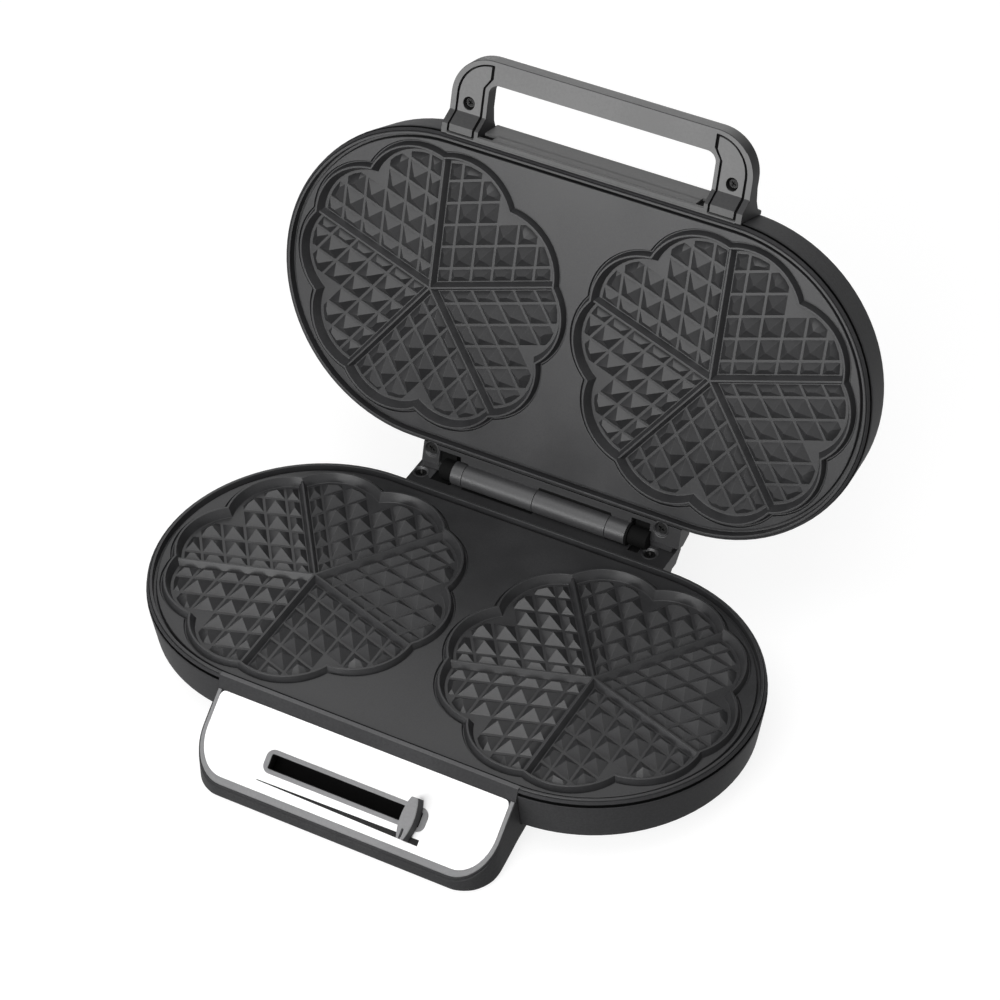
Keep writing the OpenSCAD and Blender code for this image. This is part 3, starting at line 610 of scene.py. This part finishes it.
def paint_root_shade(made):
    """Paints shade on the slope at the leg's root with the darker root copy, and on the lip below it with
    the strip's darker copy.
    """
    made.data.materials.append(root_shade_polyamide)
    made.data.materials.append(strip_shade_polyamide)
    to_closed = on_lid.inverted()
    for face in made.data.polygons:
        spot = to_closed @ face.center
        looks = (to_closed.to_3x3() @ face.normal).normalized()
        if abs(looks.x) < 0.5 and looks.z < -0.25 and looks.y < -0.25 and spot.z < ROOT_TOP:
            face.material_index = 1
        elif looks.z < -0.8 and spot.z < LIP_TOP:
            face.material_index = 2


# Painted shade: the handle's sideways faces are darkened towards #19191a.
paint_flank_shade(handle_polyamide, "#19191a")
part = finished(eased("handle_frame", 0.35), "handle_frame_moulding", UNMOVED, handle_polyamide)
paint_root_shade(part)
fitted(part, "lid", "housing_charcoal", "handle_frame")
handle = bmesh.new()
slab(handle, (-66.5, -93.5, 9.5), (60.5, -91.3, 24.8), 0.25, on_lid)
slab(handle, (60.0, -93.5, 13.0), (66.5, -91.3, 24.8), 0.25, on_lid)
slab(handle, (-58.5, -93.5, 3.65), (60.5, -91.3, 11.0), 0.25, on_lid)
slab(handle, (-66.5, -93.4, 1.0), (66.5, -91.3, 3.4), 0.15, on_lid)
part = finished(handle, "handle_strip", UNMOVED, strip_shade_polyamide)
fitted(part, "lid", "housing_charcoal", "handle_frame")
pads = bmesh.new()
slab(pads, (-65.8, -92.1, 3.2), (-58.4, -91.4, 9.6), 0.1, on_lid)
slab(pads, (60.4, -92.1, 3.2), (65.8, -91.4, 13.2), 0.1, on_lid)
part = finished(pads, "handle_root_pads", UNMOVED, black_plastic)
fitted(part, "lid", "black_plastic", "handle_frame")
for name in ("handle_inlay_left", "handle_inlay_right"):
    inlay = eased(name, 0.2)
    centre = sum((v.co for v in inlay.verts), Vector()) / len(inlay.verts)
    for vertex in inlay.verts:
        vertex.co.x = centre.x + (vertex.co.x - centre.x) * INLAY_SHARE[0]
        vertex.co.z = centre.z + (vertex.co.z - centre.z) * INLAY_SHARE[1]
    part = finished(inlay, name + "_moulding", UNMOVED, handle_polyamide)
    paint_root_shade(part)
    fitted(part, "lid", "housing_charcoal", name)
    # Painted shadow: a black copy of the inlay, sunk below it, stands for the dark gap round the inlay.
    rim = eased(name, 0.2)
    rim.transform(opened @ Matrix.Translation((0, 0, SHADOW_RIM_SUNK * MM)) @ opened.inverted())
    part = finished(rim, name + "_shadow_rim", UNMOVED, black_plastic)
    fitted(part, "lid", "black_plastic", name)
# Black-oxide finish on a steel screw: near black, with a dull sheen.
screw_black = moulded_plastic("black_oxide_screw", "#090909", "#101010", 0.4, 0.01, 0.4, 0.2)
HANDLE_SCREWS = [(-76.8, -107.4), (76.8, -107.4)]
heads = bmesh.new()
for x, y in HANDLE_SCREWS:
    crossed_screw(heads, x, y, 10.5, 2.4, -1)
    # Painted shade: the black cup round each head lines the wall of the screw's hole, which stands in shade.
    skin(heads, [circle(x, y, z, r) for r, z in (
        (3.78, 10.6), (3.78, 8.45), (3.6, 8.4), (2.45, 10.3), (2.45, 10.6))], closed=True)
part = finished(heads, "handle_screw_heads", on_lid, screw_black)
fitted(part, "lid", "black_screw", "handle_screws")

# ---------- Control block ----------
# The block that the temperature slide sits in is moulded on the front of the base: a ledge along the
# plate, a sloping seat, a grey border round a polished white panel, and a framed slot over a black guide.
PANEL_TOP = (-92.1, -7.5)
PANEL_SLOPE = radians(39.8)
BLOCK_HALF, BLOCK_FRONT, BLOCK_CORNER = 88.0, -128.9, 21.0
SLOT_ACROSS, SLOT_DOWN = -0.4, -25.8
LIP_BACK, BORDER_BACK = -92.6, -92.4


def on_panel(x, y, lift):
    """A point of the sloped panel over plan position x, y, lifted by so many millimetres square to it."""
    height = PANEL_TOP[1] + (y - PANEL_TOP[0]) * tan(PANEL_SLOPE)
    return (x, y - lift * sin(PANEL_SLOPE), height + lift * cos(PANEL_SLOPE))


def block_edge(inset, front, top, steps=14):
    """The panel's outline in plan, inset in the block's, from top left round the front to top right."""
    half, radius = BLOCK_HALF - inset, BLOCK_CORNER - max(inset, front)
    run = [(-half, top)]
    for side in (-1, 1):
        for step in range(steps + 1):
            a = pi + (pi / 2) * (step / steps + (side > 0))
            run.append((side * (half - radius) + radius * cos(a),
                        BLOCK_FRONT + front + radius + radius * sin(a)))
    return run + [(half, top)]


def flat_ring(wide, high, radius, steps=6):
    """A rounded rectangle's outline."""
    ring = []
    for k, (sx, sy) in enumerate(((1, 1), (-1, 1), (-1, -1), (1, -1))):
        for step in range(steps + 1):
            a = pi / 2 * (k + step / steps)
            ring.append((sx * (wide / 2 - radius) + radius * cos(a),
                         sy * (high / 2 - radius) + radius * sin(a)))
    return ring


on_slot = on_base @ Matrix.Translation((SLOT_ACROSS, PANEL_TOP[0], PANEL_TOP[1])) @ Matrix.Rotation(
    PANEL_SLOPE, 4, "X") @ Matrix.Translation((0, SLOT_DOWN, 0))
# ABS from a polished mould: clean white, smooth, glossy.
white_plastic = moulded_plastic("polished_white_abs", "#f4f4f4", "#f7f7f7", 3.0, 0.002, 0.3)
# ABS from a lightly blasted mould: neutral grey, satin.
trim_plastic = moulded_plastic("satin_grey_abs", "#737374", "#7a7a7b", 0.6, 0.01, 0.45, 0.3)
# Pad-printed ink: near black, flat.
print_ink = moulded_plastic("printed_grey_ink", "#1c1c1c", "#232323", 0.3, 0.002, 0.6, 0.1)

# The housing's polyamide on the ledge's upward faces: paler and a little shinier, painted light where the
# top catches it.
ledge_top_lit_polyamide = moulded_plastic("ledge_top_painted_light", "#555556", "#5d5d5e", 0.55, 0.02, 0.5, 0.2)

shell = eased("control_housing", 0.3)
lip_out, lip_in = block_edge(0.02, 0.02, LIP_BACK), block_edge(0.55, 0.9, LIP_BACK)
lip = bmesh.new()
bands = [[on_panel(x, y, lift) for x, y in run] for run, lift in (
    (lip_out, -2.0), (lip_out, -0.3), (block_edge(0.25, 0.3, LIP_BACK), 0.0), (lip_in, 0.0), (lip_in, -2.0))]
skin(lip, bands, around=False)
part = finished(lip, "control_housing_lip", on_base, housing_polyamide)
fitted(part, "base", "housing_charcoal", "control_housing")
LEDGE_FRONT, BLOCK_FACE = Vector((0, -89.4, -0.8)), Vector((0, -0.925, 0.379))
LEDGE_HALF, SEAT_TOP = 87.95, -7.4
shell.transform(on_base.inverted())
for point, normal in ((Vector((0, -92, SEAT_TOP)), Vector((0, 0, 1))), (LEDGE_FRONT, BLOCK_FACE)):
    bmesh.ops.bisect_plane(shell, geom=shell.verts[:] + shell.edges[:] + shell.faces[:], dist=1e-5,
                           plane_co=point, plane_no=normal)
proud = [f for f in shell.faces if f.calc_center_median().z > SEAT_TOP
         and (f.calc_center_median() - LEDGE_FRONT).dot(BLOCK_FACE) > 0]
bmesh.ops.delete(shell, geom=proud, context="FACES")
part = finished(shell, "control_housing_moulding", on_base, housing_polyamide)
fitted(part, "base", "housing_charcoal", "control_housing")
ledge = bmesh.new()
edge = rounded([(-86.7, -5.0), (-86.7, -0.8), (-89.4, -0.8), (-92.08, -7.35), (-92.08, -9.0)], 0.35)
rows = skin(ledge, [[(x, y, z) for y, z in edge] for x in (-LEDGE_HALF, LEDGE_HALF)])
cap(ledge, rows[0])
cap(ledge, rows[-1])
part = finished(ledge, "control_housing_ledge", on_base, housing_polyamide)
part.data.materials.append(ledge_top_lit_polyamide)
# Painted light: faces of the ledge that look up take the paler copy.
for face in part.data.polygons:
    face.material_index = int(face.normal.z > 0.9)
fitted(part, "base", "housing_charcoal", "control_housing")

border = bmesh.new()
outside, inside = block_edge(0.6, 0.95, BORDER_BACK), block_edge(2.6, 3.75, BORDER_BACK)
bands = [[on_panel(x, y, lift) for x, y in run] for run, lift in (
    (outside, -1.6), (outside, -0.2), (block_edge(0.8, 1.15, BORDER_BACK), 0.0),
    (inside, 0.0), (inside, -1.6))]
skin(border, bands, around=False)
part = finished(border, "control_border_trim", on_base, trim_plastic)
fitted(part, "base", "trim_grey", "control_border")

fascia = bmesh.new()
PANEL_INSET, PANEL_CORNER, CORNER_Y = 2.8, 2.8, -95.2
run = block_edge(PANEL_INSET, 3.9, CORNER_Y)
for side in (1, -1):
    for step in range(1, 7) if side > 0 else range(6):
        a = pi / 2 * step / 6 if side > 0 else pi / 2 + pi / 2 * step / 6
        run.append((side * (BLOCK_HALF - PANEL_INSET - PANEL_CORNER) + PANEL_CORNER * cos(a),
                    CORNER_Y + PANEL_CORNER * sin(a)))
rings = skin(fascia, [[on_panel(x, y, lift) for x, y in run] for lift in (-1.5, 0.0, 0.08)])
hole = [tuple(on_base.inverted() @ on_slot @ Vector((x, y, 0.08))) for x, y in flat_ring(90.4, 9.2, 1)]
cap(fascia, rings[-1], [fascia.verts.new(point) for point in hole])
part = finished(fascia, "control_fascia_panel", on_base, white_plastic)
fitted(part, "base", "panel_white", "control_fascia")
scale = bmesh.new()
wedge = [(-48.3, -11.6), (47.4, -13.0), (47.4, -9.7), (-48.3, -11.1)]
rings = skin(scale, [[(x, y, z) for x, y in wedge] for z in (0.05, 0.14)])
cap(scale, rings[-1])
part = finished(scale, "heat_scale_print", on_slot, print_ink)
fitted(part, "base", "black_plastic", "control_fascia")

bezel = bmesh.new()
rings = skin(bezel, [[(x, y, z) for x, y in flat_ring(95.3 - 2 * t, 12.8 - 2 * t, 4.4 - t)]
                     for t, z in ((0, 0.0), (0, 0.6), (0.12, 0.82), (0.35, 0.9))] + [
                    [(x, y, z) for x, y in flat_ring(89.2, 8.2, 0.9)] for z in (0.9, -3.0)])
part = finished(bezel, "slot_bezel_trim", on_slot, trim_plastic)
fitted(part, "base", "trim_grey", "slot_bezel")
guide = eased("slider_guide", 0.2)
guide.transform(on_slot.inverted())
skin(guide, [[(x, y, z) for x, y in flat_ring(w, h, 0.8)]
             for w, h, z in ((89.1, 8.1, -4.1), (89.1, 8.1, 0.6), (88.2, 7.3, 0.6), (88.2, 7.3, -4.1))])
part = finished(guide, "slider_guide_channel", on_slot, black_plastic)
fitted(part, "base", "black_plastic", "slider_guide")
for name, material, slot, edge in (("slider_carriage", black_plastic, "black_plastic", 0.2),
                                   ("slider_knob", housing_polyamide, "housing_charcoal", 0.2),
                                   ("slider_knob_cap", trim_plastic, "trim_grey", 0.3)):
    piece = eased(name, edge)
    if name == "slider_knob":
        slab(piece, (39.9, -12.35, 8.9), (40.9, -7.2, 10.04), 0.05, on_slot)
    part = finished(piece, name + "_moulding", UNMOVED, material)
    fitted(part, "temperature_slider", slot, name)

# ---------- Hinge ----------
# Two black glass-filled polyamide mouldings screwed to the housings. Their long knuckles meet in the middle
# of the pin. Raised rings seat the screws, black blocks fill the recesses and aprons cover the rims.
def screw_ring(bm, x, y, z, facing):
    """A raised round seat with a countersunk mouth, for one screw."""
    profile = rounded([(4.9, -1.2), (4.7, 0.25, 0.2), (3.9, 0.45, 0.2), (3.55, -0.1), (2.6, -1.6)], 0.3)
    skin(bm, [circle(x, y, z + facing * h, r, 40) for r, h in profile])


# The hinge's glass-filled polyamide in a lighter copy on the knuckles: dark grey, satin, painted light for
# the sheen the barrels catch.
knuckle_lit_polyamide = moulded_plastic("hinge_knuckle_painted_light", "#343435", "#3c3c3d", 0.5, 0.02, 0.4)
# The hinge's glass-filled polyamide on the rest of the castings: charcoal, dull.
hinge_plastic = moulded_plastic("hinge_polyamide", "#1d1d1e", "#242425", 0.5, 0.02, 0.5, 0.3)
BASE_HINGE_SCREWS = [(-74.6, 99.0), (67.1, 98.1)]
LID_HINGE_SCREWS = [(-71.2, 93.7), (69.9, 93.6)]
AXIS, KNUCKLE_REACH = (102.5, 2.0), 6.6
for name, body, place, spots, level, facing in (
        ("base_hinge", "base", on_base, BASE_HINGE_SCREWS, -3.0, 1),
        ("lid_hinge", "lid", on_lid, LID_HINGE_SCREWS, 2.6, -1)):
    block = eased(name + "_block", 0.3)
    block.transform(place.inverted())
    for x, y in spots:
        screw_ring(block, x, y, level, facing)
    # Painted light: faces round the pin axis go to the knuckles' lighter copy.
    knuckle = block.copy()
    for mesh, kept in ((block, False), (knuckle, True)):
        middles = {f: f.calc_center_median() for f in mesh.faces}
        away = [f for f, c in middles.items()
                if (hypot(c.y - AXIS[0], c.z - AXIS[1]) < KNUCKLE_REACH) != kept]
        bmesh.ops.delete(mesh, geom=away, context="FACES")
    part = finished(block, name + "_casting", place, hinge_plastic)
    fitted(part, body, "hinge_charcoal", name + "_block")
    part = finished(knuckle, name + "_knuckle", place, knuckle_lit_polyamide)
    fitted(part, body, "hinge_charcoal", name + "_block")
    heads = bmesh.new()
    for x, y in spots:
        crossed_screw(heads, x, y, level - facing * 0.75, 3.3, facing)
    part = finished(heads, name + "_screw_heads", place, screw_black)
    fitted(part, body, "black_screw", name + "_screws")
    inserts = eased(name + "_inserts", 0.2)
    inserts.transform(place.inverted())
    # Painted shadow: the thin black strips along the knuckles stand for the dark gap between knuckle and
    # block.
    if body == "lid":
        slab(inserts, (-4.0, 94.6, 2.4), (40.0, 96.1, 3.4), 0.08, UNMOVED)
    else:
        slab(inserts, (-48.0, 96.4, -3.6), (-4.4, 98.6, -2.85), 0.08, UNMOVED)
        along_pin = Matrix.Translation((0, AXIS[0], AXIS[1])) @ Matrix.Rotation(pi / 2, 4, "Y")
        for x0, x1, radius in ((52.2, 53.4, 6.6), (53.4, 64.5, 5.4), (-62.5, -55.3, 5.4)):
            disc = bmesh.new()
            turned(disc, rounded([(0, x0), (radius, x0, 0.4), (radius, x1, 0.4), (0, x1)], 0.4))
            add_mesh(inserts, disc, along_pin)
    part = finished(inserts, name + "_insert_blocks", place, black_plastic)
    fitted(part, body, "black_plastic", name + "_inserts")
APRON = [(88.75, -6.3), (88.75, -4.2), (90.0, -3.4), (90.6, -3.4), (90.7, -6.3)]
for name, body, place, ends, side, drop in (("base_hinge", "base", on_base, (-79.6, 79.0), 1, 0),
                                            ("lid_hinge", "lid", on_lid, (-76.5, 81.7), -1, 0.25)):
    apron = bmesh.new()
    skin(apron, [[(x, y, side * z + drop) for y, z in APRON] for x in ends])
    part = finished(apron, name + "_apron", place, hinge_plastic)
    fitted(part, body, "hinge_charcoal", name + "_block")

# ---------- Bottom cover, feet and cord gland ----------
# The base is closed from below by a vented cover in the housing's polyamide. Four pressed-in rubber pads
# stand on the table, and a rubber bushing guards the hole for the mains cord at the back.
# Moulded rubber: soft black, powdery, no gloss.
rubber = moulded_plastic("moulded_rubber", "#131313", "#1c1c1c", 0.9, 0.03, 0.78, 0.3)
for name, material, slot, edge in (("bottom_cover", housing_polyamide, "housing_charcoal", 0.25),
                                   ("rubber_feet", rubber, "foot_rubber", 0.4),
                                   ("cord_gland", rubber, "black_plastic", 0.25)):
    part = finished(eased(name, edge), name + "_moulding", UNMOVED, material)
    fitted(part, "base", slot, name)
part = finished(eased("lid_screw_plugs", 0.3), "lid_screw_plugs_moulding", UNMOVED, housing_polyamide)
fitted(part, "lid", "housing_charcoal", "lid_screw_plugs")


# ---------- Heaters, reflectors, ceramics and steel fixings ----------
# Inside each half a sheathed tubular heater lies between the plate and a pressed sheet reflector. The
# thermostat and terminal block are glazed ceramic. Screws and hinge pin are zinc-plated steel.
def sheet_metal(name, colour, stained, cloud_mm, streak_mm, roughness):
    """A bare metal with uneven staining and drawn or pressed streaks in its sheen."""
    made = blank(name)
    place = node(made, "TexCoord").outputs["Object"]
    stretched = node(made, "Mapping", {"Vector": place, "Scale": (0.12, 1.0, 1.0)})
    cloud = node(made, "TexNoise", {"Vector": place, "Scale": 1 / (cloud_mm * MM),
                                    "Detail": 4.0, "Roughness": 0.6})
    tone = node(made, "ValToRGB", {"Fac": cloud.outputs["Fac"]})
    tone.color_ramp.elements[0].position, tone.color_ramp.elements[0].color = 0.35, linear(stained)
    tone.color_ramp.elements[1].position, tone.color_ramp.elements[1].color = 0.62, linear(colour)
    streak = node(made, "TexNoise", {"Vector": stretched.outputs["Vector"], "Scale": 1 / (streak_mm * MM),
                                     "Detail": 3.0, "Roughness": 0.6})
    sheen = node(made, "MapRange", {"Value": streak.outputs["Fac"], "From Min": 0.3, "From Max": 0.7,
                                    "To Min": roughness - 0.06, "To Max": roughness + 0.08})
    lines = node(made, "Bump", {"Height": streak.outputs["Fac"], "Strength": 1.0, "Distance": 0.008 * MM})
    shader = node(made, "BsdfPrincipled", {
        "Base Color": tone.outputs["Color"], "Roughness": sheen.outputs["Result"],
        "Normal": lines.outputs["Normal"], "Metallic": 1.0})
    node(made, "OutputMaterial", {"Surface": shader.outputs[0]})
    return made


# Nickel-steel tube coloured by heat: brownish grey, dull.
heater_sheath = sheet_metal("oxidised_heater_sheath", "#7d766c", "#5a534d", 9, 1.2, 0.45)
# Aluminised steel sheet, pressed: pale, bright, faintly streaked.
pressed_sheet = sheet_metal("aluminised_sheet", "#c9cbcc", "#b4b6b8", 25, 1.5, 0.3)
# Zinc-plated steel: cool grey with a soft shine.
zinc_plate = sheet_metal("zinc_plated_steel", "#b3b4b1", "#9c9d99", 6, 0.8, 0.34)
# Glazed steatite: cream, smooth, with a clear gloss.
ceramic = moulded_plastic("glazed_steatite", "#ddd6c6", "#e6e0d2", 1.2, 0.01, 0.32)
for names, material in (
        (("lower_heating_element", "upper_heating_element"), heater_sheath),
        (("lower_reflector", "upper_reflector"), pressed_sheet),
        (("thermostat", "terminal_block"), ceramic),
        (("lower_reflector_screws", "upper_reflector_screws", "lower_plate_screws", "upper_plate_screws",
          "bottom_cover_screws", "control_screws", "hinge_pin"), zinc_plate)):
    for name in names:
        slots = frame["nodes"][name].data.materials
        slots.clear()
        slots.append(material)
